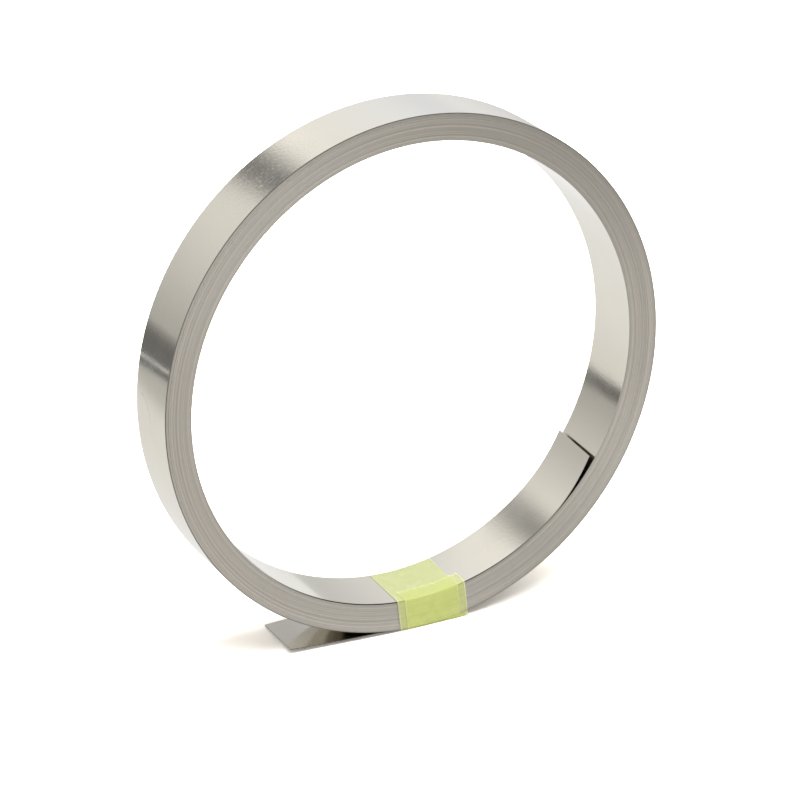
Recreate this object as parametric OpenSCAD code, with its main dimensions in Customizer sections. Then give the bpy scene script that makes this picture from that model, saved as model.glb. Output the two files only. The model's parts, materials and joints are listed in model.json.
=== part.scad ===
// Coil of nickel strip: a thin strip wound on itself and held by a band of tape at the bottom.
// Lengths are in millimetres and angles in degrees. The origin is the centre of the bore, the bore
// runs along Y, and the coil stands on its rim with Z up. Seen from the front, from -Y with X to
// the right, the strip winds outwards clockwise and its outer end runs off to the left.

/* [Strip] */
// Width of the strip
strip_w = 10; // [4:0.5:30]
// Thickness of the strip
strip_t = 0.1; // [0.08:0.01:0.2]

/* [Coil] */
// Radius of the bore
bore_r = 35.7; // [25:0.1:60]
// Turns in the wall of the coil
turns = 42; // [20:1:60]
// Room that a turn takes beyond its own thickness
turn_slack = 0.0024; // [0:0.0004:0.01]
// How far the turns stand out of line at the ends
turn_wander = 0.04; // [0.01:0.01:0.1]
// Depth of the groove between neighbouring turns
turn_groove = 0.03; // [0.01:0.01:0.05]

/* [Outer end] */
// Length of the free outer end
tail_l = 20.6; // [14:0.2:40]
// Angle by which its tip is bent up
tail_rise = 4; // [1:0.5:6]
// Radius of that bend
tail_bend_r = 115; // [80:5:130]

/* [Inner end] */
// Angle round the bore where the inner end leaves the wall
inner_crease_a = -46.5; // [-60:0.5:-30]
// Angle of the crease there
inner_crease = 7; // [6:0.5:10]
// Length of the free inner end
inner_l = 9.2; // [6:0.2:12]
// Radius to which it is bent beyond the crease
inner_bend_r = 48; // [44:1:80]

/* [Tape] */
// Width of the tape
tape_w = 10.1; // [6:0.1:16]
// Thickness of the tape
tape_t = 0.08; // [0.04:0.01:0.1]
// Angle of the tape's line from the lowest point of the coil, to the right
tape_a = 3.8; // [0:0.1:5]
// How far the first layer's left edge lies to the left of that line
tape_left = 5.75; // [3.5:0.05:9]
// How far the second layer lies to the right of the first
tape_shift = 1.2; // [0.2:0.1:2]
// Depth of the tape's cut end on the inner wall
tape_flap = 3.2; // [1.5:0.1:3.5]
// Width of a tooth of the cut end
tooth_w = 1.1; // [0.8:0.1:2]
// Depth of a tooth of the cut end
tooth_d = 0.5; // [0.2:0.05:0.8]

/* [Hidden] */
$fn = 360;
nickel = [0.73, 0.71, 0.67];
lime = [0.80, 0.86, 0.50];

turn_pitch = strip_t + turn_slack;
coil_r = bore_r + turns * turn_pitch;
// Steps along the bend of a free end
bend_steps = 10;
// Distances by which the free ends start inside the wall
tail_root = 1.5;
inner_root = 1;
// Room between the lowest turn and the flat underside of the tape
tape_slack = 0.02;
// Half of the room that the tape leaves across the turns
tape_room = strip_w / 2 + turn_wander;

// How far turn i stands out to the front, and the groove on its inner side
function turn_shift(i) = turn_wander * (0.6 * sin(67 * i) + 0.4 * sin(151 * i));
function groove_shift(i) = (turn_shift(max(i - 1, 0)) + turn_shift(min(i, turns - 1))) / 2;

// One end of the wall in section, from the bore outwards: a groove and a crest for each turn
function wound_edge(side) = [
    for (i = [0 : 2 * turns])
        let (
            r = bore_r + i / 2 * turn_pitch,
            crest = i % 2 == 1,
            shift = crest ? turn_shift((i - 1) / 2) : groove_shift(i / 2),
            depth = crest ? 0 : turn_groove
        )
        [r, side * (strip_w / 2 - depth) + shift]
];

function backwards(list) = [for (i = [len(list) - 1 : -1 : 0]) list[i]];

// Points along an arc round c
function arc(c, r, from, to) = [
    for (i = [0 : bend_steps])
        let (a = from + (to - from) * i / bend_steps)
        c + r * [cos(a), sin(a)]
];

// Outline of a strip of thickness strip_t along a path
function side_of(path, i) =
    let (
        d = path[min(i + 1, len(path) - 1)] - path[max(i - 1, 0)]
    )
    [-d.y, d.x] / norm(d) * strip_t / 2;
function ribbon(path) = concat(
    [for (i = [0 : len(path) - 1]) path[i] + side_of(path, i)],
    [for (i = [len(path) - 1 : -1 : 0]) path[i] - side_of(path, i)]
);

// Length along a bend of radius r as an angle
function bend_angle(length, r) = length / r * 180 / PI;

// The coil is drawn lying down, its front face up, and this stands it on its rim
module stand() {
    rotate([90, 0, 0]) children();
}

// The wound wall, with every turn showing on both ends
module wound_wall() {
    rotate_extrude() polygon(concat(wound_edge(1), backwards(wound_edge(-1))));
}

module free_end(path) {
    linear_extrude(height = strip_w, center = true) polygon(ribbon(path));
}

// The outer end leaves the lowest point to the left, bends up a little and ends straight
module outer_end() {
    centre = [0, tail_bend_r - coil_r + strip_t / 2];
    bend = arc(centre, tail_bend_r, -90 - bend_angle(tail_root, tail_bend_r), -90 - tail_rise);
    straight = tail_l - tail_bend_r * tail_rise * PI / 180;
    free_end(concat(bend, [bend[bend_steps] + straight * [-cos(tail_rise), sin(tail_rise)]]));
}

// The inner end leaves the wall at a crease and stands off it towards its tip
module inner_end() {
    crease = (bore_r + strip_t / 2) * [cos(inner_crease_a), sin(inner_crease_a)];
    towards_middle = inner_crease_a + 180 + inner_crease;
    centre = crease + inner_bend_r * [cos(towards_middle), sin(towards_middle)];
    from = towards_middle - 180;
    free_end(arc(
        centre,
        inner_bend_r,
        from - bend_angle(inner_root, inner_bend_r),
        from + bend_angle(inner_l, inner_bend_r)
    ));
}

module nickel_strip() {
    color(nickel) stand() union() {
        wound_wall();
        outer_end();
        inner_end();
    }
}

// Area of the wall's front that the tape covers, with the tape's thickness above and below it.
// The underside is flat, as the coil presses it on the surface that it stands on.
module tape_front(above, below, left, width) {
    difference() {
        intersection() {
            rotate(tape_a) translate([left, -2 * coil_r]) square([width, 2 * coil_r]);
            translate([-coil_r, -coil_r - tape_slack - below]) square([2 * coil_r, coil_r]);
        }
        circle(r = bore_r - above);
    }
}

// The first layer goes once round the wall
module first_layer() {
    difference() {
        linear_extrude(height = 2 * (tape_room + tape_t), center = true)
            tape_front(tape_t, tape_t, -tape_left, tape_w);
        linear_extrude(height = 2 * tape_room, center = true)
            tape_front(0, 0, -tape_left - tape_w, 3 * tape_w);
    }
}

// The second layer covers the front again, and starts half a thickness inside the first
module second_layer() {
    translate([0, 0, tape_room + tape_t / 2])
        linear_extrude(height = tape_t * 3 / 2)
        tape_front(2 * tape_t, tape_t, tape_shift - tape_left, tape_w);
}

// Outline of the cut end seen from above: a straight front and a row of teeth behind
function cut_end() =
    let (
        teeth = round(tape_w / tooth_w),
        left = tape_shift - tape_left,
        back = tape_room - tape_flap
    )
    concat(
        [[left + tape_w, tape_room + tape_t], [left, tape_room + tape_t]],
        [for (i = [0 : 2 * teeth]) [left + tape_w * i / (2 * teeth), back + (i % 2) * tooth_d]]
    );

// The cut end of the tape lies on the inner wall, over the first layer
module tape_end() {
    intersection() {
        linear_extrude(height = 4 * tape_room, center = true) difference() {
            circle(r = bore_r - tape_t / 2);
            circle(r = bore_r - 2 * tape_t);
        }
        rotate([90, 0, tape_a]) linear_extrude(height = bore_r) polygon(cut_end());
    }
}

module tape_band() {
    color(lime) stand() union() {
        first_layer();
        second_layer();
        tape_end();
    }
}

nickel_strip();
tape_band();
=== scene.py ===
"""Coil of nickel strip: the wound strip, the band of tape that holds it, and a plain studio."""
import json
from math import cos, pi, radians, sin, sqrt

import bpy
from bpy.props import FloatProperty, FloatVectorProperty, IntProperty, PointerProperty
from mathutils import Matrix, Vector


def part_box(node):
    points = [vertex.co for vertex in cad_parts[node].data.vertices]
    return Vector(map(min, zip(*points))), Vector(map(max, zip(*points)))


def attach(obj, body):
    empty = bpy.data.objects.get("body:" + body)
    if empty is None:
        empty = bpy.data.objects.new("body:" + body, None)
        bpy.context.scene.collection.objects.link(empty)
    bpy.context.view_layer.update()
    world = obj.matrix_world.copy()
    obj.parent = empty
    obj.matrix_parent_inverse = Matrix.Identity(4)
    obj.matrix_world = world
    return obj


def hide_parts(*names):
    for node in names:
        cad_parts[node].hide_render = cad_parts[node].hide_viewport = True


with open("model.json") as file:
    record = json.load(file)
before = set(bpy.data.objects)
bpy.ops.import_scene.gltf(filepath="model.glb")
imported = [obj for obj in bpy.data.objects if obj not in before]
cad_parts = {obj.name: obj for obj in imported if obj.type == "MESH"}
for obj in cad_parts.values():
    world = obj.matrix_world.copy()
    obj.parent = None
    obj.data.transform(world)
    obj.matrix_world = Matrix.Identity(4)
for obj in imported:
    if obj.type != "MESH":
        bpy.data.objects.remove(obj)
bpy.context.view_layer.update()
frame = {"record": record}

bl_info = {
    "name": "Nickel Strip Coil",
    "version": (1, 0, 0),
    "blender": (4, 5, 0),
    "location": "3D View > Sidebar > Nickel coil",
    "description": "Winds a coil of nickel strip, tapes it and sets up a studio for it",
    "category": "Object",
}

MM = 0.001
STRIP_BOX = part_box("nickel_strip")
TAPE_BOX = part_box("tape_band")
MOUNTS = {mount["name"]: mount for mount in frame["record"]["mounts"]}
BORE = MOUNTS["spindle_bore"]["dims"]
BORE_RADIUS = BORE["r_mm"] * MM
STRIP_WIDTH = BORE["length_mm"] * MM
COIL_RADIUS = STRIP_BOX[1].z
FLOOR_LEVEL = TAPE_BOX[0].z

# Maps on the strip: the first drives its finish, the second gives baked pictures their room
STRIP_MAP = "strip"
BAKE_MAP = "OFBake"
# Map of the flat tape, from 0 to 1 across it and along it
TAPE_MAP = "UVMap"


class StripSettings(bpy.types.PropertyGroup):
    """Sizes and colours of the wound strip"""
    thickness: FloatProperty(
        name="Thickness", description="Thickness of the strip",
        default=0.1 * MM, unit="LENGTH", precision=5)
    slit_bevel: FloatProperty(
        name="Slit bevel", description="Width of the rounding that slitting leaves on the edges",
        default=0.02 * MM, unit="LENGTH", precision=5)
    whole_turns: IntProperty(
        name="Whole turns", description="Whole turns between the inner and the outer end", default=41)
    crease_angle: FloatProperty(
        name="Inner crease", description="Angle round the bore at which the inner end leaves the wall",
        default=radians(-46.5), subtype="ANGLE")
    inner_length: FloatProperty(
        name="Inner end", description="Length of the free inner end",
        default=9.2 * MM, unit="LENGTH", precision=4)
    inner_crease: FloatProperty(
        name="Inner crease lift", description="How far the crease lifts the inner end's tip inwards",
        default=0.12 * MM, unit="LENGTH", precision=5)
    inner_curl: FloatProperty(
        name="Inner curl", description="How far the inner end's tip curls inwards beyond the crease",
        default=1.42 * MM, unit="LENGTH", precision=5)
    inner_ease: FloatProperty(
        name="Inner ease", description="How far the strip's slow rise towards the crease lifts the tip",
        default=0.42 * MM, unit="LENGTH", precision=5)
    inner_skew: FloatProperty(
        name="Inner skew", description="How much the inner end is cut shorter at its front edge",
        default=0.6 * MM, unit="LENGTH", precision=5)
    inner_twist: FloatProperty(
        name="Inner twist", description="Twist of the inner end's tip, its front edge inwards",
        default=radians(1.4), subtype="ANGLE")
    leave_angle: FloatProperty(
        name="Outer leave", description="Angle past the lowest point at which the outer end leaves the wall",
        default=radians(8.2), subtype="ANGLE")
    tail_length: FloatProperty(
        name="Outer end", description="Length of the free outer end",
        default=14.45 * MM, unit="LENGTH", precision=4)
    tail_skew: FloatProperty(
        name="Outer skew", description="How much the outer end is cut longer at its front edge",
        default=0.5 * MM, unit="LENGTH", precision=5)
    tail_drop: FloatProperty(
        name="Outer drop", description="How far the outer end's tip is bent down where the tape lets it go",
        default=2.08 * MM, unit="LENGTH", precision=5)
    tail_slant: FloatProperty(
        name="Outer slant", description="How far the outer end's tip stands to the back",
        default=1.05 * MM, unit="LENGTH", precision=5)
    tail_twist: FloatProperty(
        name="Outer twist", description="Twist of the outer end's tip, its front edge up",
        default=radians(3.0), subtype="ANGLE")
    dish: FloatProperty(
        name="Dish", description="How far the outermost turn stands in front of the innermost",
        default=0.836 * MM, unit="LENGTH", precision=5)
    lean: FloatProperty(
        name="Lean", description="How far the innermost turn leans to the front at the upper left",
        default=0.62 * MM, unit="LENGTH", precision=5)
    bulge: FloatProperty(
        name="Inner bulge", description="How far the innermost turn stands off the others near the tape",
        default=0.055 * MM, unit="LENGTH", precision=5)
    bulge_twist: FloatProperty(
        name="Bulge twist", description="Twist of that bulge, its front edge inwards",
        default=radians(0.65), subtype="ANGLE")
    looseness: FloatProperty(
        name="Looseness", description="Gap that opens between the outermost turns at the upper left",
        default=0.05 * MM, unit="LENGTH", precision=5)
    wander: FloatProperty(
        name="Wander", description="How far the turns stand out of line at the ends",
        default=0.10 * MM, unit="LENGTH", precision=5)
    face_colour: FloatVectorProperty(
        name="Rolled face", description="Colour of the bright rolled faces",
        default=(0.82, 0.792, 0.714), size=3, min=0, max=1, subtype="COLOR")
    edge_colour: FloatVectorProperty(
        name="Slit edge", description="Colour of the slit edges, which show on the ends of the coil",
        default=(0.675, 0.63, 0.562), size=3, min=0, max=1, subtype="COLOR")


class TapeSettings(bpy.types.PropertyGroup):
    """Sizes and colour of the band of tape"""
    width: FloatProperty(
        name="Width", description="Width of the tape",
        default=10.1 * MM, unit="LENGTH", precision=4)
    thickness: FloatProperty(
        name="Thickness", description="Thickness of the tape",
        default=0.07 * MM, unit="LENGTH", precision=5)
    angle: FloatProperty(
        name="Angle", description="Angle of the tape's line from the lowest point of the coil",
        default=radians(3.8), subtype="ANGLE")
    left: FloatProperty(
        name="Left edge", description="Distance of the first layer's left edge from that line",
        default=5.75 * MM, unit="LENGTH", precision=4)
    drift: FloatProperty(
        name="Drift", description="How far the tape moves to the right in one lap",
        default=1.2 * MM, unit="LENGTH", precision=4)
    flap: FloatProperty(
        name="Flap", description="Depth of the cut end on the inner wall",
        default=3.2 * MM, unit="LENGTH", precision=4)
    tooth_depth: FloatProperty(
        name="Tooth depth", description="Depth of the teeth that the cutter left",
        default=0.5 * MM, unit="LENGTH", precision=5)
    colour: FloatVectorProperty(
        name="Colour", description="Colour of the tape",
        default=(0.90, 1.0, 0.295), size=3, min=0, max=1, subtype="COLOR")


class StudioSettings(bpy.types.PropertyGroup):
    """Camera and light of the studio"""
    azimuth: FloatProperty(
        name="Azimuth", description="Angle of the camera round the coil",
        default=radians(-27.45), subtype="ANGLE")
    elevation: FloatProperty(
        name="Elevation", description="Angle of the camera above the horizon",
        default=radians(23.36), subtype="ANGLE")
    distance: FloatProperty(
        name="Distance", description="Distance of the camera from what it looks at",
        default=468.65 * MM, unit="LENGTH", precision=4)
    lens: FloatProperty(name="Lens", description="Focal length in millimetres", default=144)
    lamp_power: FloatProperty(
        name="Lamp", description="Power of the soft lamp overhead", default=19, unit="POWER")


# Selecting and editing

def only(piece):
    """Selects one piece and nothing else."""
    bpy.ops.object.select_all(action="DESELECT")
    piece.select_set(True)
    bpy.context.view_layer.objects.active = piece


def pick(piece, kind, test):
    """Opens the piece in edit mode with the VERT, EDGE or FACE elements selected that pass a test."""
    bpy.ops.object.mode_set(mode="EDIT")
    bpy.ops.mesh.select_mode(type=kind)
    bpy.ops.mesh.select_all(action="DESELECT")
    bpy.ops.object.mode_set(mode="OBJECT")
    mesh = piece.data
    for element in {"VERT": mesh.vertices, "EDGE": mesh.edges, "FACE": mesh.polygons}[kind]:
        element.select = test(element)
    bpy.ops.object.mode_set(mode="EDIT")


def done():
    """Leaves edit mode."""
    bpy.ops.object.mode_set(mode="OBJECT")


def modify(piece, kind, **settings):
    """Adds a modifier to the active piece and applies it."""
    modifier = piece.modifiers.new(kind.lower(), kind)
    for name, value in settings.items():
        setattr(modifier, name, value)
    bpy.ops.object.modifier_apply(modifier=modifier.name)


def fading(falloff, reach):
    """Settings of a transform that fades out over a reach."""
    return {"use_proportional_edit": True, "proportional_edit_falloff": falloff, "proportional_size": reach}


def settle(piece):
    """Puts the piece's place and turn into its mesh."""
    only(piece)
    bpy.ops.object.transform_apply(location=True, rotation=True, scale=True)


# Shader nodes

# Places of the colour sockets on a Mix node, where the names repeat
MIX_FACTOR, MIX_FIRST, MIX_SECOND = 0, 6, 7
MIX_COLOUR = 2


def add_node(tree, kind, inputs=None, **settings):
    """Adds a node, sets its properties, and links or sets its inputs."""
    node = tree.nodes.new(kind)
    for name, value in settings.items():
        setattr(node, name, value)
    for key, value in (inputs or {}).items():
        if isinstance(value, bpy.types.NodeSocket):
            tree.links.new(value, node.inputs[key])
        else:
            node.inputs[key].default_value = value
    return node


def maths(tree, operation, *values):
    """The result of a Math node on one, two or three values or sockets."""
    return add_node(tree, "ShaderNodeMath", dict(enumerate(values)), operation=operation).outputs[0]


def total(tree, first, *others):
    """The sum of values or sockets."""
    for other in others:
        first = maths(tree, "ADD", first, other)
    return first


def product(tree, first, *others):
    """The product of values or sockets."""
    for other in others:
        first = maths(tree, "MULTIPLY", first, other)
    return first


def axes(tree, vector):
    """The X, Y and Z sockets of a vector."""
    return add_node(tree, "ShaderNodeSeparateXYZ", {0: vector}).outputs


def ranged(tree, value, low, high, to_low, to_high, kind="LINEAR"):
    """A value moved from one range to another, and kept inside it."""
    inputs = {"Value": value, "From Min": low, "From Max": high, "To Min": to_low, "To Max": to_high}
    return add_node(tree, "ShaderNodeMapRange", inputs, interpolation_type=kind).outputs["Result"]


def blended(tree, factor, first, second):
    """A mix of two colours, each a colour or a socket."""
    inputs = {MIX_FACTOR: factor, MIX_FIRST: first, MIX_SECOND: second}
    return add_node(tree, "ShaderNodeMix", inputs, data_type="RGBA").outputs[MIX_COLOUR]


def soft_cover(tree, value, low, high, edge):
    """1 between two values and 0 outside them, with soft edges."""
    rise = ranged(tree, value, low - edge / 2, low + edge / 2, 0, 1, "SMOOTHSTEP")
    fall = ranged(tree, value, high - edge / 2, high + edge / 2, 1, 0, "SMOOTHSTEP")
    return product(tree, rise, fall)


def reach_from(tree, here, middle, radii):
    """Distance from a middle, 1 at the given radii along X and Y."""
    squares = []
    for axis, start, radius in zip(("X", "Y"), middle, radii):
        share = maths(tree, "DIVIDE", maths(tree, "SUBTRACT", here[axis], start), radius)
        squares.append(maths(tree, "POWER", share, 2.0))
    return maths(tree, "SQRT", total(tree, *squares))


def raised(tree, height, strength, distance):
    """The normals of a fine relief."""
    inputs = {"Height": height, "Strength": strength, "Distance": distance}
    return add_node(tree, "ShaderNodeBump", inputs).outputs[0]


def paint(colour, light=1.0):
    """A colour with its alpha, made lighter or darker."""
    return tuple(channel * light for channel in colour[:3]) + (1.0,)


def new_material(name):
    """An empty material and its node tree."""
    material = bpy.data.materials.new(name)
    material.use_nodes = True
    material.node_tree.nodes.clear()
    return material, material.node_tree


def mixed(tree, share, first, second):
    """A mix of two shaders: the first where the share is 0, the second where it is 1."""
    return add_node(tree, "ShaderNodeMixShader", {0: share, 1: first, 2: second}).outputs[0]


def finish_with(tree, shader, kind="ShaderNodeOutputMaterial"):
    """Leads a shader to the output."""
    add_node(tree, kind, {"Surface": shader})


def finish_surface(tree, inputs):
    """Leads a Principled surface with the given inputs to the output."""
    finish_with(tree, add_node(tree, "ShaderNodeBsdfPrincipled", inputs).outputs[0])


def drawn_marks():
    """Group of the marks that rolling and drawing leave: long streaks and a fine cloudiness."""
    group = bpy.data.node_groups.get("drawn marks")
    if group:
        return group
    group = bpy.data.node_groups.new("drawn marks", "ShaderNodeTree")
    sockets = group.interface
    sockets.new_socket("Vector", in_out="INPUT", socket_type="NodeSocketVector")
    for name in ("Streak Length", "Streak Width", "Cloud Size"):
        sockets.new_socket(name, in_out="INPUT", socket_type="NodeSocketFloat")
    for name in ("Streaks", "Clouds"):
        sockets.new_socket(name, in_out="OUTPUT", socket_type="NodeSocketFloat")
    given = group.nodes.new("NodeGroupInput").outputs
    length, width, size = (
        maths(group, "DIVIDE", 1.0, given[name]) for name in ("Streak Length", "Streak Width", "Cloud Size"))
    scale = add_node(group, "ShaderNodeCombineXYZ", {"X": length, "Y": width, "Z": width}).outputs[0]
    stretched = add_node(
        group, "ShaderNodeVectorMath", {0: given["Vector"], 1: scale}, operation="MULTIPLY").outputs[0]
    streaks = add_node(group, "ShaderNodeTexNoise", {
        "Vector": stretched, "Scale": 1.0, "Detail": 3.0, "Roughness": 0.6})
    clouds = add_node(group, "ShaderNodeTexNoise", {
        "Vector": given["Vector"], "Scale": size, "Detail": 2.0, "Roughness": 0.5})
    add_node(group, "NodeGroupOutput", {
        "Streaks": streaks.outputs["Fac"], "Clouds": clouds.outputs["Fac"]})
    return group


def marks(tree, vector, length, width, size):
    """The streaks and clouds of the drawn marks, with their own sizes in metres."""
    node = add_node(tree, "ShaderNodeGroup", {
        "Vector": vector, "Streak Length": length, "Streak Width": width, "Cloud Size": size,
    }, node_tree=drawn_marks())
    return node.outputs["Streaks"], node.outputs["Clouds"]


# Finishes

# Places on the outermost turn, in turns before its end, and across the strip
SCRATCH_PLACE = 0.776
SCRATCH_SIDE = -3.1 * MM
SCRATCH_RADIUS = 3.3 * MM
RUB_START = 0.69
RUB_END = 0.55
RUB_SOFTNESS = 12 * MM
# Grid of the specks, most of which are left out
SPECK_ROOM = 5 * MM
# Stretch of the innermost edge that gets painted shade, in turns from the crease
SHADED_TURNS = 0.22
SHADE_SOFTNESS = 20 * MM
# Widths and colour of the painted highlight: pale margins on the sides and on the teeth of the tape
HIGHLIGHT_SIDE_WIDTH = 0.15 * MM
HIGHLIGHT_TEETH_WIDTH = 0.3 * MM
EDGE_HIGHLIGHT_COLOUR = (0.98, 1.0, 0.72, 1)


def hair_scratch(tree, along, middle, radius):
    """Mask of a hair scratch: a quarter of a circle round a middle, on the strip's map."""
    here = axes(tree, along)
    reach = reach_from(tree, here, middle, (radius, radius))
    off_line = maths(tree, "ABSOLUTE", maths(tree, "SUBTRACT", reach, 1.0))
    mask = ranged(tree, off_line, 0.008, 0.02, 1, 0)
    for axis, start in zip(("X", "Y"), middle):
        mask = product(tree, mask, maths(tree, "GREATER_THAN", here[axis], start))
    return mask


def few_specks(tree, along):
    """Mask of a few dark specks, on the strip's map."""
    spots = add_node(tree, "ShaderNodeTexVoronoi", {"Vector": along, "Scale": 1 / SPECK_ROOM})
    chosen = add_node(tree, "ShaderNodeSeparateColor", {0: spots.outputs["Color"]}).outputs[0]
    return product(
        tree, ranged(tree, spots.outputs["Distance"], 0.02, 0.05, 0.4, 0),
        ranged(tree, chosen, 0.6, 0.62, 0, 1))


def rolled_nickel(colour, plan):
    """Bright rolled nickel: a fine grain, faint patches, a few specks, and rolling lines along the strip."""
    material, tree = new_material("rolled nickel")
    along = add_node(tree, "ShaderNodeUVMap", uv_map=STRIP_MAP).outputs["UV"]
    lines, grain = marks(tree, along, 8 * MM, 0.3 * MM, 0.45 * MM)
    grit = marks(tree, along, 25 * MM, 0.5 * MM, 0.16 * MM)[1]
    bands, haze = marks(tree, along, 60 * MM, 1.2 * MM, 7 * MM)
    tone = blended(tree, ranged(tree, bands, 0.35, 0.7, 0, 0.5), paint(colour), paint(colour, 0.96))
    tone = blended(tree, ranged(tree, haze, 0.4, 0.65, 0, 1), tone, paint(colour, 0.97))
    tone = blended(tree, few_specks(tree, along), tone, paint(colour, 0.35))
    tone = blended(tree, ranged(tree, grit, 0.35, 0.65, 0, 1), tone, paint(colour, 0.91))
    scratch = hair_scratch(tree, along, (plan.before_end(SCRATCH_PLACE), SCRATCH_SIDE), SCRATCH_RADIUS)
    tone = blended(tree, product(tree, scratch, 0.7), tone, paint(colour, 0.6))
    rubbed = soft_cover(
        tree, axes(tree, along)["X"], plan.before_end(RUB_START), plan.before_end(RUB_END), RUB_SOFTNESS)
    shine = total(
        tree, ranged(tree, lines, 0.3, 0.7, 0.07, 0.10), ranged(tree, haze, 0.4, 0.7, 0, 0.04),
        ranged(tree, grit, 0.5, 0.7, 0, 0.06),
        product(tree, ranged(tree, grain, 0.48, 0.78, 0, 0.17), ranged(tree, rubbed, 0, 1, 0.2, 1)))
    fine = total(tree, product(tree, grain, 0.9), product(tree, grit, 0.45))
    fine = product(tree, fine, ranged(tree, rubbed, 0, 1, 0.4, 1))
    relief = total(tree, product(tree, lines, 0.12), fine, product(tree, haze, 1.1))
    finish_surface(tree, {
        "Base Color": tone, "Metallic": 1.0, "Roughness": shine,
        "Normal": raised(tree, relief, 0.5, 0.02 * MM)})
    return material


def slit_edge(colour, plan):
    """The slit edges: duller than the faces, lighter or darker by turns, with painted shade on the first and
    last turns and on the free outer end.
    """
    material, tree = new_material("slit edge")
    along = add_node(tree, "ShaderNodeUVMap", uv_map=STRIP_MAP).outputs["UV"]
    turns, grit = marks(tree, along, 70 * MM, 40 * MM, 0.25 * MM)
    slow, specks = marks(tree, along, 900 * MM, 220 * MM, 1.5 * MM)
    turn_tone = total(tree, product(tree, turns, 0.4), product(tree, slow, 0.6))
    tone = blended(tree, ranged(tree, turn_tone, 0.36, 0.64, 0, 1), paint(colour, 0.74), paint(colour, 1.22))
    tone = blended(tree, ranged(tree, specks, 0.55, 0.75, 0, 0.25), tone, paint(colour, 0.8))
    run = axes(tree, along)["X"]
    # Painted shade in the gaps at the rim and at the bore: the edges of the last turn and of the first
    # stretch from the crease are darkened
    last_turn = soft_cover(tree, run, plan.before_end(1), plan.wound_length, SHADE_SOFTNESS)
    first_turn_shade = soft_cover(tree, run, 0, SHADED_TURNS * plan.turn_length, SHADE_SOFTNESS)
    # Painted shade: the slit edge of the free outer end is darkened where it stands just over the floor
    outer_end_shade = soft_cover(tree, run, plan.wound_length - 2 * MM, plan.cut + 20 * MM, 6 * MM)
    for cover, share, light in ((last_turn, 0.75, 0.3), (first_turn_shade, 0.75, 0.2), (outer_end_shade, 0.85, 0.1)):
        tone = blended(tree, product(tree, cover, share), tone, paint(colour, light))
    finish_surface(tree, {
        "Base Color": tone, "Metallic": 1.0, "Roughness": ranged(tree, turns, 0.3, 0.7, 0.34, 0.5),
        "Normal": raised(tree, grit, 0.3, 0.02 * MM)})
    return material


def edge_highlight_mask(tree, settings, length):
    """Mask of the painted highlight on the tape's edges, from its map: 1 on its two sides and on the teeth,
    0 further in.
    """
    here = axes(tree, add_node(tree, "ShaderNodeUVMap", uv_map=TAPE_MAP).outputs["UV"])
    from_middle = maths(tree, "ABSOLUTE", maths(tree, "SUBTRACT", here["X"], 0.5))
    sides = ranged(tree, from_middle, 0.5 - HIGHLIGHT_SIDE_WIDTH / settings.width, 0.5, 0, 1)
    teeth = ranged(tree, here["Y"], 1 - HIGHLIGHT_TEETH_WIDTH / length, 1, 0, 1)
    return maths(tree, "MAXIMUM", sides, teeth)


def satin_tape(settings, length):
    """Thin yellow-green film with a painted highlight on its edges, so see-through that two layers look
    stronger than one.
    """
    material, tree = new_material("satin tape")
    colour = settings.colour
    place = add_node(tree, "ShaderNodeTexCoord").outputs["Object"]
    streaks, clouds = marks(tree, place, 3 * MM, 0.5 * MM, 1.1 * MM)
    # Painted highlight: the edges are paler and less see-through
    edges = product(tree, edge_highlight_mask(tree, settings, length), ranged(tree, clouds, 0.4, 0.6, 0.3, 0.9))
    tone = blended(tree, ranged(tree, clouds, 0.35, 0.65, 0, 1), paint(colour), paint(colour, 0.93))
    finish_surface(tree, {
        "Base Color": blended(tree, edges, tone, EDGE_HIGHLIGHT_COLOUR),
        "Roughness": ranged(tree, streaks, 0.3, 0.7, 0.38, 0.5),
        "Alpha": total(tree, ranged(tree, clouds, 0.3, 0.7, 0.18, 0.22), product(tree, edges, 0.4)),
        "Normal": raised(tree, clouds, 0.15, 0.08 * MM)})
    return material


# The strip

# The same number of steps in every turn keeps neighbouring turns from cutting into each other
STEPS_PER_TURN = 155
# Places and reaches in turns: of the gaps from the end, and of the lean and the bulge from the crease
LOOSE_PLACE = 0.64
LOOSE_REACH = 0.36
LEAN_PLACE = 0.487
LEAN_REACH = 0.245
BULGE_PLACE = 0.125
BULGE_REACH = 0.13
# How many of the outermost turns each gap lifts, and its share of the looseness
LOOSE_TURNS = ((1, 1.0), (5, 0.8), (8, 0.5))
# Reaches in lengths of the free end
EASE_REACH = 1.75
TAIL_TWIST_REACH = 0.6


class StripPlan:
    """The strip laid out flat along X, before it is wound. X is 0 at the inner crease."""

    def __init__(self, settings):
        half = settings.thickness / 2
        self.first_radius = BORE_RADIUS + half
        self.last_radius = COIL_RADIUS - half
        self.mean_radius = (self.first_radius + self.last_radius) / 2
        last_part = settings.crease_angle + pi / 2 + settings.leave_angle
        self.turns = settings.whole_turns + last_part / (2 * pi)
        self.turn_length = 2 * pi * self.mean_radius
        self.wound_length = self.turns * self.turn_length
        self.start = -settings.inner_length
        self.cut = self.wound_length + settings.tail_length
        self.step = self.turn_length / STEPS_PER_TURN
        self.steps = round((self.cut - self.start) / self.step)
        self.end = self.start + self.steps * self.step
        self.rise = (self.last_radius - self.first_radius) / self.wound_length
        self.slide = settings.dish / self.wound_length

    def before_end(self, turns):
        """The place that lies a number of turns before the end of the wall."""
        return self.wound_length - turns * self.turn_length

    def height(self, x):
        """Height of the strip's middle at x: the later a turn, the further out it lies."""
        return self.first_radius - self.mean_radius + self.rise * x

    def side(self, x):
        """Sideways place of the strip's middle at x: the later a turn, the further to the front."""
        return self.slide * (x - self.wound_length / 2)


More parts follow.
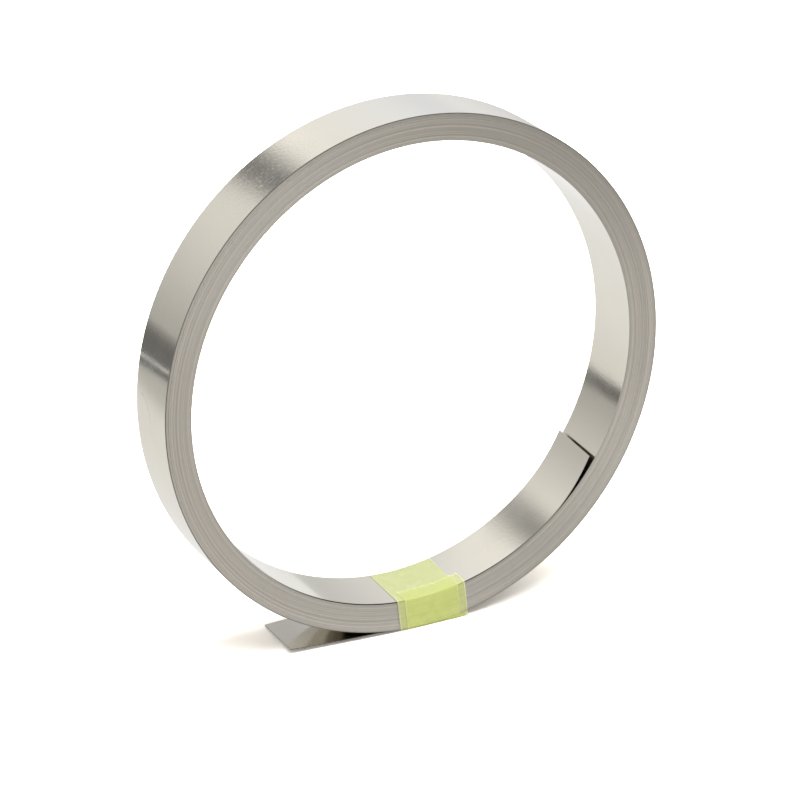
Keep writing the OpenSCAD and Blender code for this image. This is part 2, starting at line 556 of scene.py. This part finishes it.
def one_step(plan, settings):
    """One step of the strip's length, open at both ends, with its slit edges rounded."""
    bpy.ops.object.select_all(action="DESELECT")
    bpy.ops.mesh.primitive_cube_add(size=1, calc_uvs=False)
    strip = bpy.context.object
    strip.name = strip.data.name = "nickel_strip_wound"
    strip.scale = (plan.step, settings.thickness, STRIP_WIDTH)
    strip.location = (plan.start + plan.step / 2, plan.height(plan.start), plan.side(plan.start))
    settle(strip)
    middle = plan.start + plan.step / 2
    points = strip.data.vertices

    def runs_lengthwise(edge):
        first, second = (points[index].co.x for index in edge.vertices)
        return abs(first - second) > plan.step / 2

    pick(strip, "EDGE", runs_lengthwise)
    bpy.ops.mesh.bevel(offset=settings.slit_bevel, offset_type="OFFSET", segments=1)
    done()
    pick(strip, "FACE", lambda face: abs(face.normal.x) > 0.9)
    bpy.ops.mesh.delete(type="FACE")
    done()
    pick(strip, "VERT", lambda point: point.co.x > middle)
    bpy.ops.transform.translate(value=(0, plan.rise * plan.step, plan.slide * plan.step))
    done()
    strip.data.materials.append(rolled_nickel(settings.face_colour, plan))
    strip.data.materials.append(slit_edge(settings.edge_colour, plan))
    strip.active_material_index = 1
    pick(strip, "FACE", lambda face: abs(face.normal.z) > 0.5)
    bpy.ops.object.material_slot_assign()
    done()
    return strip


def full_length(strip, plan):
    """Repeats the step to the whole length and closes the two cut ends."""
    modify(
        strip, "ARRAY", count=plan.steps, use_relative_offset=False, use_constant_offset=True,
        constant_offset_displace=(plan.step, plan.rise * plan.step, plan.slide * plan.step),
        use_merge_vertices=True, merge_threshold=0.001 * MM)
    # Thousands of steps add up to a small error in length, which is taken out here
    strip.scale.x = plan.end / max(point.co.x for point in strip.data.vertices)
    settle(strip)
    bpy.ops.object.mode_set(mode="EDIT")
    bpy.ops.mesh.select_mode(type="EDGE")
    bpy.ops.mesh.select_all(action="DESELECT")
    bpy.ops.mesh.select_non_manifold()
    bpy.ops.mesh.fill_holes(sides=8)
    bpy.ops.object.material_slot_assign()
    done()


def cut_ends(strip, plan, settings):
    """Trims the outer end to its length, and skews both cuts, which are not quite square."""
    pick(strip, "VERT", lambda point: abs(point.co.x - plan.end) < 0.5 * plan.step)
    bpy.ops.transform.translate(value=(plan.cut - plan.end, 0, 0))
    done()
    for end, skew in ((plan.start, settings.inner_skew), (plan.cut, settings.tail_skew)):
        side = plan.side(end)
        pick(strip, "VERT", lambda point: abs(point.co.x - end) < 0.5 * plan.step and point.co.z > side)
        bpy.ops.transform.translate(value=(skew, 0, 0))
        done()


def lay_strip_map(strip):
    """The map of the finish: metres along the strip, and metres across it."""
    layer = strip.data.uv_layers.new(name=STRIP_MAP)
    points = strip.data.vertices
    for loop in strip.data.loops:
        place = points[loop.vertex_index].co
        layer.data[loop.index].uv = (place.x, place.z)
    layer.active_render = True


class BakeRows:
    """Rows of a square map: seven for the faces, then a thin one for each turn's front and back edge."""

    # Heights of the rows and the shares of them that are filled
    face_row = 0.109
    edge_row = 0.0027
    fill = 0.96
    edge_fill = 0.8
    # First rows of the outer face, the inner face, the short stretches and the edges
    outer_row, inner_row, short_row, first_edge_row = 0, 3, 6, 7
    # Left sides of the tail's underside and of the faces between the turns
    tail_left = 0.15
    hidden_left = 0.4
    # Share of a turn in a row of a face
    face_share = 0.36

    def __init__(self, plan):
        self.plan = plan
        self.face_length = self.face_share * plan.turn_length
        self.edge_length = plan.turn_length

    def face(self, number, start, left=0.0):
        """A row of a face: where it starts on the strip, its left, bottom, scale and height on the map."""
        scale = self.fill / (self.face_length + self.plan.step)
        return start - self.plan.step / 2, left, number * self.face_row, scale, self.fill * self.face_row

    def seen_face(self, first_row, start, x):
        """The row that holds x, of the three rows of a face that is seen all round the coil."""
        row = int((x - start) / self.face_length)
        return self.face(first_row + row, start + row * self.face_length)

    def edge(self, x, front):
        """The row of the edge of the turn that holds x."""
        turn = int((x - self.plan.start) / self.edge_length)
        bottom = self.first_edge_row * self.face_row + (2 * turn + front) * self.edge_row
        start = self.plan.start + turn * self.edge_length - self.plan.step / 2
        scale = self.fill / (self.edge_length + self.plan.step)
        return start, 0.0, bottom, scale, self.edge_fill * self.edge_row

    def row(self, normal, x):
        """The row for a face of the flat strip at x. The faces between the turns share one place."""
        plan = self.plan
        last_turn = plan.before_end(1)
        if abs(normal.z) > 0.5:
            return self.edge(x, normal.z > 0)
        if normal.y > 0 and x > last_turn:
            return self.seen_face(self.outer_row, last_turn, x)
        if normal.y < 0 and x < plan.turn_length:
            return self.seen_face(self.inner_row, plan.start, x)
        if normal.y > 0 and x < 0:
            return self.face(self.short_row, plan.start)
        if normal.y < 0 and x > plan.wound_length:
            return self.face(self.short_row, plan.wound_length, self.tail_left)
        return self.face(self.short_row, x, self.hidden_left)


def lay_bake_map(strip, plan, settings):
    """The map for baked pictures, on which every face that can be seen has room of its own."""
    layer = strip.data.uv_layers.new(name=BAKE_MAP)
    rows = BakeRows(plan)
    mesh = strip.data
    for face in mesh.polygons:
        cap = abs(face.normal.x) > 0.5
        start, left, bottom, scale, height = rows.row(face.normal, face.center.x)
        for index in face.loop_indices:
            place = mesh.vertices[mesh.loops[index].vertex_index].co
            across = (place.z - plan.side(place.x)) / STRIP_WIDTH + 0.5
            through = (place.y - plan.height(place.x)) / settings.thickness + 0.5
            share = through if cap or abs(face.normal.z) > 0.5 else across
            along = STRIP_WIDTH * across if cap else place.x - start
            layer.data[index].uv = (left + scale * along, bottom + height * share)


def let_wander(strip, settings):
    """Lets the turns stand a little out of line: fast from turn to turn, slowly over many."""
    for name, reach, share in (("turn by turn", 90 * MM, 0.6), ("over many turns", 700 * MM, 0.4)):
        texture = bpy.data.textures.new(name, type="CLOUDS")
        texture.noise_scale = reach
        texture.noise_depth = 2
        modify(
            strip, "DISPLACE", texture=texture, texture_coords="LOCAL", direction="Z",
            mid_level=0.5, strength=settings.wander * share)


def lean_turns(strip, plan, settings):
    """Leans the turns to the front at the upper left, the inner ones more than the outer ones."""
    group = strip.vertex_groups.new(name="lean")
    for point in strip.data.vertices:
        turn = point.co.x / plan.turn_length
        away = abs(turn % 1 - LEAN_PLACE) / LEAN_REACH
        inwards = 1 - turn / plan.turns
        if away < 1 and 0 < inwards < 1:
            group.add([point.index], inwards * (1 - away) ** 2 * (1 + 2 * away), "REPLACE")
    modify(strip, "DISPLACE", vertex_group=group.name, direction="Z", mid_level=0, strength=settings.lean)
    strip.vertex_groups.clear()


def nudge(strip, plan, places, shift, reach, falloff, aside=0):
    """Moves the strip outwards and to the front at some places, and what is within reach after them."""
    pick(strip, "VERT", lambda point: any(abs(point.co.x - x) < 0.6 * plan.step for x in places))
    bpy.ops.transform.translate(value=(0, shift, aside), **fading(falloff, reach))
    done()


def twist(strip, plan, x, angle, reach, falloff):
    """Twists the strip at x so that its front edge goes inwards, and what lies within reach after it."""
    pick(strip, "VERT", lambda point: abs(point.co.x - x) < 0.6 * plan.step)
    bpy.ops.transform.rotate(
        value=-angle, orient_axis="X", center_override=(x, plan.height(x), plan.side(x)),
        **fading(falloff, reach))
    done()


def loosen_turns(strip, plan, settings):
    """Opens gaps between the outermost turns, and lets the innermost turn bulge inwards near the tape."""
    for turns, share in LOOSE_TURNS:
        places = [plan.before_end(turn + LOOSE_PLACE) for turn in range(turns)]
        nudge(strip, plan, places, share * settings.looseness, LOOSE_REACH * plan.turn_length, "SMOOTH")
    middle = BULGE_PLACE * plan.turn_length
    reach = BULGE_REACH * plan.turn_length
    nudge(strip, plan, [middle], -settings.bulge, reach, "INVERSE_SQUARE")
    twist(strip, plan, middle, settings.bulge_twist, reach, "INVERSE_SQUARE")


def shape_ends(strip, plan, settings):
    """Bends the two free ends off the wall, and twists each a little, as they lie when let go."""
    nudge(strip, plan, [plan.start], -settings.inner_crease, settings.inner_length, "LINEAR")
    nudge(strip, plan, [plan.start], -settings.inner_curl, settings.inner_length, "SHARP")
    nudge(strip, plan, [plan.start], -settings.inner_ease, EASE_REACH * settings.inner_length, "SHARP")
    twist(strip, plan, plan.start, settings.inner_twist, settings.inner_length, "LINEAR")
    nudge(strip, plan, [plan.cut], settings.tail_drop, settings.tail_length, "LINEAR", -settings.tail_slant)
    twist(strip, plan, plan.cut, settings.tail_twist, TAIL_TWIST_REACH * settings.tail_length, "SHARP")


def wind(strip, plan, settings):
    """Winds the flat strip from its crease outwards, and stands the coil on its rim."""
    length = plan.cut + settings.tail_skew - plan.start
    modify(
        strip, "SIMPLE_DEFORM", deform_method="BEND", deform_axis="Z", angle=-2 * pi * plan.turns,
        limits=(-plan.start / length, (plan.wound_length - plan.start) / length))
    strip.location = (0, plan.mean_radius, 0)
    settle(strip)
    strip.rotation_euler = (0, 0, settings.crease_angle - pi / 2)
    settle(strip)
    strip.rotation_euler = (pi / 2, 0, 0)
    settle(strip)


class COIL_OT_strip(bpy.types.Operator):
    """Winds the nickel strip into its coil, with both ends free"""
    bl_idname = "nickel_coil.strip"
    bl_label = "Wind strip"

    def execute(self, context):
        settings = context.scene.nickel_strip
        plan = StripPlan(settings)
        strip = one_step(plan, settings)
        full_length(strip, plan)
        cut_ends(strip, plan, settings)
        lay_strip_map(strip)
        lay_bake_map(strip, plan, settings)
        let_wander(strip, settings)
        lean_turns(strip, plan, settings)
        loosen_turns(strip, plan, settings)
        shape_ends(strip, plan, settings)
        wind(strip, plan, settings)
        only(strip)
        bpy.ops.object.shade_smooth_by_angle(angle=radians(30))
        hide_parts("nickel_strip")
        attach(strip, "root")
        return {"FINISHED"}


# The tape

class TapeWrap:
    """Where a point of the flat tape lies once the tape is wrapped round the wall of the coil."""

    # Room over the strip's edges and over the innermost turn, and between the two layers
    room = 0.05 * MM
    clearance = 0.012 * MM
    layer_gap = 0.01 * MM
    # Half the length over which a fold is rounded
    fold = 0.3 * MM
    # Height and reach of the loose left edge at the start
    edge_lift = 0.13 * MM
    edge_reach = 0.9 * MM
    # Share of the first lap after which the tape climbs on its own start
    climb_from = 0.9

    def __init__(self, tape, strip):
        self.tape = tape
        self.film = tape.thickness / 2
        self.half = STRIP_WIDTH / 2 + self.room + self.film
        self.wall = COIL_RADIUS - BORE_RADIUS
        self.lap = 4 * self.half + 2 * self.wall
        self.length = self.lap + self.wall + tape.flap
        self.dish = strip.dish
        self.bulge = strip.bulge + self.clearance
        self.bulge_tilt = strip.bulge_twist

    def section(self, run):
        """Height, 0 underneath to 1 on the inner wall, and way back, -1 in front to 1 behind."""
        run %= self.lap
        if run < self.wall:
            return run / self.wall, -1
        run -= self.wall
        if run < 2 * self.half:
            return 1, run / self.half - 1
        run -= 2 * self.half
        if run < self.wall:
            return 1 - run / self.wall, 1
        return 0, 1 - (run - self.wall) / self.half

    def rounded_section(self, run):
        """The same with the folds rounded, as the mean over a short length of tape."""
        steps = [self.section(run + share * self.fold) for share in (-1, -0.5, 0, 0.5, 1)]
        return tuple(sum(values) / len(steps) for values in zip(*steps))

    def place(self, side, run):
        """The place of the point at a distance from the tape's left edge and from its start."""
        height, back = self.rounded_section(run)
        laps = run / self.lap
        rise = min(max((laps - self.climb_from) / (1 - self.climb_from), 0), 1)
        lift = rise * (self.tape.thickness + self.layer_gap)
        loose_edge = max(1 - side / self.edge_reach, 0) ** 2 * max(1 - 2 * laps, 0)
        lift += self.edge_lift * loose_edge
        y = back * (self.half + lift) + self.dish * (height - 0.5)
        across = side - self.tape.left + self.tape.drift * laps
        stand_off = self.bulge - back * self.half * self.bulge_tilt
        bore = BORE_RADIUS - stand_off - self.film - lift
        inner = -sqrt(bore ** 2 - across ** 2)
        tilt = self.tape.angle
        under = (FLOOR_LEVEL + self.film - across * sin(tilt)) / cos(tilt)
        down = under + (inner - under) * height
        return Vector((across * cos(tilt) - down * sin(tilt), y, across * sin(tilt) + down * cos(tilt)))


TAPE_TEETH = 9
COLUMNS_PER_TOOTH = 4
TAPE_ROWS = 180
# Share by which the teeth differ in depth
TOOTH_SPREAD = 0.35


def flat_tape(settings, length):
    """The tape laid flat, from (0, 0) to its width and length, its far end cut to teeth."""
    bpy.ops.object.select_all(action="DESELECT")
    bpy.ops.mesh.primitive_grid_add(
        x_subdivisions=TAPE_TEETH * COLUMNS_PER_TOOTH, y_subdivisions=TAPE_ROWS, size=1)
    tape = bpy.context.object
    tape.name = tape.data.name = "tape_wrapped"
    tape.scale = (settings.width, length, 1)
    tape.location = (settings.width / 2, length / 2, 0)
    settle(tape)
    tooth = settings.width / TAPE_TEETH
    near_end = length - 0.4 * length / TAPE_ROWS
    for number in range(TAPE_TEETH):
        middle = (number + 0.5) * tooth
        depth = settings.tooth_depth * (1 + TOOTH_SPREAD * sin(5 * number + 1))
        pick(tape, "VERT", lambda point: point.co.y > near_end and abs(point.co.x - middle) < 0.1 * tooth)
        bpy.ops.transform.translate(value=(0, -depth, 0), **fading("LINEAR", 0.55 * tooth))
        done()
    return tape


class COIL_OT_tape(bpy.types.Operator):
    """Wraps the band of tape round the wall of the coil"""
    bl_idname = "nickel_coil.tape"
    bl_label = "Wrap tape"

    def execute(self, context):
        settings = context.scene.nickel_tape
        wrap = TapeWrap(settings, context.scene.nickel_strip)
        tape = flat_tape(settings, wrap.length)
        for point in tape.data.vertices:
            point.co = wrap.place(point.co.x, point.co.y)
        only(tape)
        modify(tape, "SOLIDIFY", thickness=settings.thickness, offset=0, use_even_offset=True)
        bpy.ops.object.shade_smooth_by_angle(angle=radians(40))
        tape.data.materials.append(satin_tape(settings, wrap.length))
        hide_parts("tape_band")
        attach(tape, "root")
        return {"FINISHED"}


# The studio

# Tints of what the metal mirrors
WARM = (1.0, 0.985, 0.955, 1)
NEUTRAL = (1, 1, 1, 1)
COOL = (0.945, 0.97, 1.03, 1)
# Light that is left after each further mirror image, and after a matt surface
LEFT_AFTER_BOUNCE = 0.7
LEFT_AFTER_MATT = 0.25
# Depths behind the coil at which the cards stand
BACKDROP_DEPTH = 0.51
BAR_DEPTH = 0.24
TABLE_DEPTH = 0.155
# The floor's colours to the camera and to matt surfaces, and its width
FLOOR_SEEN = (1.80, 1.74, 1.66, 1)
FLOOR_MATT = (0.65, 0.65, 0.65, 1)
FLOOR_SIZE = 6
# The room's colours to matt surfaces and in the metal
ROOM_MATT = (0.66, 0.645, 0.62, 1)
ROOM_MIRRORED = (0.98, 1.0, 1.02, 1)
BAR_COLOUR = (0.23, 0.23, 0.23, 1)
# What the camera looks at: a point, and a step from it to the camera's right
AIM = (0, 0.418 * MM, -5.37 * MM)
AIM_ASIDE = -0.15 * MM
LAMP_PLACE = (0.05, -0.35, 1.2)
LAMP_SIZE = 1.0


def stage_plane(name, size, place, turn):
    """A plane of the studio, with an empty material, and the sockets of its X, Y and Z."""
    bpy.ops.object.select_all(action="DESELECT")
    bpy.ops.mesh.primitive_plane_add(size=1)
    plane = bpy.context.object
    plane.name = plane.data.name = name
    plane.scale = (size[0], size[1], 1)
    plane.rotation_euler = turn
    plane.location = place
    settle(plane)
    material, tree = new_material(name)
    plane.data.materials.append(material)
    return plane, tree, axes(tree, add_node(tree, "ShaderNodeTexCoord").outputs["Object"])


def card(name, low, high, depth):
    """An upright card from one corner (x, z) to another, behind the coil, that only the metal mirrors."""
    place = ((low[0] + high[0]) / 2, depth, (low[1] + high[1]) / 2)
    plane, tree, here = stage_plane(name, (high[0] - low[0], high[1] - low[1]), place, (pi / 2, 0, 0))
    plane.visible_camera = False
    plane.visible_diffuse = False
    plane.visible_transmission = False
    plane.visible_shadow = False
    return tree, here


def later_bounces(tree):
    """1 where the metal mirrors the studio, and less from turn to turn or by way of the floor."""
    rays = add_node(tree, "ShaderNodeLightPath").outputs
    bounces = maths(tree, "SUBTRACT", maths(tree, "MAXIMUM", rays["Glossy Depth"], 1.0), 1.0)
    back_down = ranged(tree, rays["Diffuse Depth"], 0, 1, 1.0, LEFT_AFTER_MATT)
    return product(tree, maths(tree, "POWER", LEFT_AFTER_BOUNCE, bounces), back_down)


def tinted(tree, level, tint):
    """A level with a tint."""
    return add_node(tree, "ShaderNodeVectorMath", {0: level, 1: tint}, operation="MULTIPLY").outputs[0]


def glow(tree, level):
    """An even light of a level from 0, black, to 1, white."""
    return add_node(tree, "ShaderNodeEmission", {"Color": level, "Strength": 1.0}).outputs[0]


def grey_backdrop():
    """A backdrop half a metre behind the coil: grey at its foot on the left, lighter up and to the right."""
    tree, here = card("grey_backdrop", (-1.5, -0.028), (1.5, 0.45), BACKDROP_DEPTH)
    left = ranged(tree, here["Z"], 0.0, 0.25, 0.51, 0.85)
    right = ranged(tree, here["Z"], 0.15, 0.29, 0.88, 1.01, "SMOOTHSTEP")
    to_right = ranged(tree, here["X"], -0.20, 0.0, 0, 1, "SMOOTHSTEP")
    level = blended(tree, to_right, left, right)
    patch = product(
        tree, soft_cover(tree, here["X"], -0.05, 0.055, 0.05),
        soft_cover(tree, here["Z"], 0.265, 0.335, 0.04))
    level = product(tree, total(tree, level, product(tree, patch, 0.13)), later_bounces(tree))
    tint = blended(tree, ranged(tree, here["X"], 0.05, 0.30, 0, 1), WARM, COOL)
    finish_with(tree, glow(tree, tinted(tree, level, tint)))


def see_through_glow(tree, cover, level):
    """Leads a glow to the output where the cover is 1, and nothing where it is 0."""
    clear = add_node(tree, "ShaderNodeBsdfTransparent").outputs[0]
    finish_with(tree, mixed(tree, cover, clear, glow(tree, level)))


def dark_bar():
    """A dark upright bar behind the coil, which shows in the rim as a soft dark band."""
    tree, here = card("dark_bar", (-0.13, 0.08), (0.02, 0.34), BAR_DEPTH)
    cover = product(
        tree, ranged(tree, here["X"], -0.104, -0.068, 0, 1, "SMOOTHSTEP"),
        ranged(tree, here["X"], -0.060, -0.008, 1, 0, "SMOOTHSTEP"),
        ranged(tree, here["Z"], 0.075, 0.17, 0, 1, "SMOOTHSTEP"))
    see_through_glow(tree, cover, BAR_COLOUR)


def pale_card():
    """A pale card behind the coil on the right, darker at its foot."""
    tree, here = card("pale_card", (-0.02, FLOOR_LEVEL), (0.4, 0.09), TABLE_DEPTH)
    cover = product(
        tree, ranged(tree, here["X"], -0.02, 0.005, 0, 1, "SMOOTHSTEP"),
        ranged(tree, here["Z"], 0.055, 0.085, 1, 0, "SMOOTHSTEP"))
    corner = product(
        tree, soft_cover(tree, here["X"], 0.01, 0.064, 0.016),
        soft_cover(tree, here["Z"], 0.024, 0.052, 0.016))
    level = product(
        tree, ranged(tree, here["Z"], -0.02, 0.055, 0.65, 0.91),
        ranged(tree, here["X"], 0.03, 0.09, 0.82, 1.0),
        ranged(tree, corner, 0, 1, 1.0, 0.67), later_bounces(tree))
    see_through_glow(tree, cover, level)


def table_edge():
    """The edge of the table at the back on the left: dark, with a light line along it."""
    tree, here = card("table_edge", (-0.24, FLOOR_LEVEL), (-0.105, -0.0175), TABLE_DEPTH)
    line = product(tree, soft_cover(tree, here["Z"], -0.0306, -0.0287, 0.001), 0.8)
    foot = product(tree, soft_cover(tree, here["Z"], -0.042, -0.0373, 0.002), 0.34)
    finish_with(tree, glow(tree, total(tree, 0.17, maths(tree, "MAXIMUM", line, foot))))


def mirrored_floor(tree, here):
    """Level of the floor in the metal: dark to the back on the left and far in front, with painted shadow
    under the coil and in front of it on the right.
    """
    to_back_left = maths(tree, "SUBTRACT", product(tree, here["Y"], 0.35), here["X"])
    to_left = maths(tree, "SUBTRACT", product(tree, here["Y"], -0.3), here["X"])
    to_front_right = maths(
        tree, "SUBTRACT", product(tree, here["X"], 0.45), product(tree, here["Y"], 0.89))
    level = product(
        tree,
        ranged(tree, to_back_left, -0.05, 0.0, 1.0, 0.93),
        ranged(tree, to_back_left, 0.02, 0.08, 1.0, 0.93),
        ranged(tree, to_left, 0.052, 0.0675, 1.0, 0.645, "SMOOTHSTEP"),
        ranged(tree, to_back_left, 0.172, 0.232, 1.0, 0.30),
        ranged(tree, to_back_left, 0.40, 0.65, 1.0, 2.4),
        ranged(tree, to_front_right, 0.154, 0.174, 1.0, 0.40, "SMOOTHSTEP"),
        # Painted shadow: the floor is darker in the metal under the coil and in front of it to the right of
        # the tape
        ranged(tree, reach_from(tree, here, (0.004, 0.008), (0.022, 0.012)), 0.2, 1.0, 0.30, 1.0),
        ranged(tree, reach_from(tree, here, (0.030, -0.022), (0.060, 0.065)), 0.0, 1.0, 0.36, 1.0),
        later_bounces(tree))
    return tinted(tree, level, blended(tree, ranged(tree, to_back_left, 0.0, 0.1, 0, 1), NEUTRAL, WARM))


def studio_floor():
    """A white floor that keeps the shadow, with its own level in the metal."""
    _, tree, here = stage_plane("studio_floor", (FLOOR_SIZE, FLOOR_SIZE), (0, 0, FLOOR_LEVEL), (0, 0, 0))
    rays = add_node(tree, "ShaderNodeLightPath").outputs
    seen = add_node(tree, "ShaderNodeBsdfDiffuse", {"Color": FLOOR_SEEN}).outputs[0]
    matt = add_node(tree, "ShaderNodeBsdfDiffuse", {"Color": FLOOR_MATT}).outputs[0]
    lit = mixed(tree, rays["Is Camera Ray"], matt, seen)
    finish_with(tree, mixed(tree, rays["Is Glossy Ray"], lit, glow(tree, mirrored_floor(tree, here))))


def studio_world():
    """White to the camera, and an even soft room to everything else."""
    world = bpy.data.worlds.new("studio")
    world.use_nodes = True
    bpy.context.scene.world = world
    tree = world.node_tree
    tree.nodes.clear()
    rays = add_node(tree, "ShaderNodeLightPath").outputs
    soft = blended(tree, rays["Is Glossy Ray"], ROOM_MATT, ROOM_MIRRORED)
    room = add_node(tree, "ShaderNodeBackground", {"Color": soft, "Strength": 1.0}).outputs[0]
    white = add_node(tree, "ShaderNodeBackground", {"Color": NEUTRAL, "Strength": 1.0}).outputs[0]
    finish_with(tree, mixed(tree, rays["Is Camera Ray"], room, white), "ShaderNodeOutputWorld")


def studio_camera(settings):
    """The camera at the picture's angle."""
    data = bpy.data.cameras.new("camera")
    data.lens = settings.lens
    camera = bpy.data.objects.new("camera", data)
    bpy.context.collection.objects.link(camera)
    azimuth, elevation = settings.azimuth, settings.elevation
    right = Vector((cos(azimuth), sin(azimuth), 0))
    back = Vector((sin(azimuth) * cos(elevation), -cos(azimuth) * cos(elevation), sin(elevation)))
    target = right * AIM_ASIDE + Vector(AIM)
    camera.location = target + back * settings.distance
    camera.rotation_euler = back.to_track_quat("Z", "Y").to_euler()
    bpy.context.scene.camera = camera


def studio_lamp(settings):
    """One large soft lamp above and in front."""
    data = bpy.data.lights.new("soft lamp", "AREA")
    data.energy = settings.lamp_power
    data.size = LAMP_SIZE
    lamp = bpy.data.objects.new("soft lamp", data)
    lamp.location = LAMP_PLACE
    lamp.rotation_euler = lamp.location.to_track_quat("Z", "Y").to_euler()
    lamp.visible_glossy = False
    bpy.context.collection.objects.link(lamp)


class COIL_OT_studio(bpy.types.Operator):
    """Sets up the floor, the light and the camera"""
    bl_idname = "nickel_coil.studio"
    bl_label = "Set up studio"

    def execute(self, context):
        settings = context.scene.nickel_studio
        studio_floor()
        studio_world()
        studio_lamp(settings)
        grey_backdrop()
        dark_bar()
        pale_card()
        table_edge()
        studio_camera(settings)
        context.scene.view_settings.view_transform = "Standard"
        return {"FINISHED"}


class COIL_PT_panel(bpy.types.Panel):
    """The coil's settings and the steps that make it"""
    bl_label = "Nickel coil"
    bl_idname = "COIL_PT_panel"
    bl_space_type = "VIEW_3D"
    bl_region_type = "UI"
    bl_category = "Nickel coil"

    def draw(self, context):
        scene = context.scene
        for operator, settings in (
                (COIL_OT_strip, scene.nickel_strip),
                (COIL_OT_tape, scene.nickel_tape),
                (COIL_OT_studio, scene.nickel_studio)):
            box = self.layout.box()
            box.operator(operator.bl_idname)
            for name in settings.__annotations__:
                box.prop(settings, name)


CLASSES = (
    StripSettings, TapeSettings, StudioSettings,
    COIL_OT_strip, COIL_OT_tape, COIL_OT_studio, COIL_PT_panel)


def register():
    """Makes the classes and their settings known to Blender."""
    for item in CLASSES:
        bpy.utils.register_class(item)
    bpy.types.Scene.nickel_strip = PointerProperty(type=StripSettings)
    bpy.types.Scene.nickel_tape = PointerProperty(type=TapeSettings)
    bpy.types.Scene.nickel_studio = PointerProperty(type=StudioSettings)


def unregister():
    """Takes the settings and the classes away again."""
    del bpy.types.Scene.nickel_studio
    del bpy.types.Scene.nickel_tape
    del bpy.types.Scene.nickel_strip
    for item in reversed(CLASSES):
        bpy.utils.unregister_class(item)


def main():
    """Makes the pieces and the studio."""
    register()
    bpy.ops.nickel_coil.strip()
    bpy.ops.nickel_coil.tape()
    bpy.ops.nickel_coil.studio()


if __name__ == "__main__":
    main()
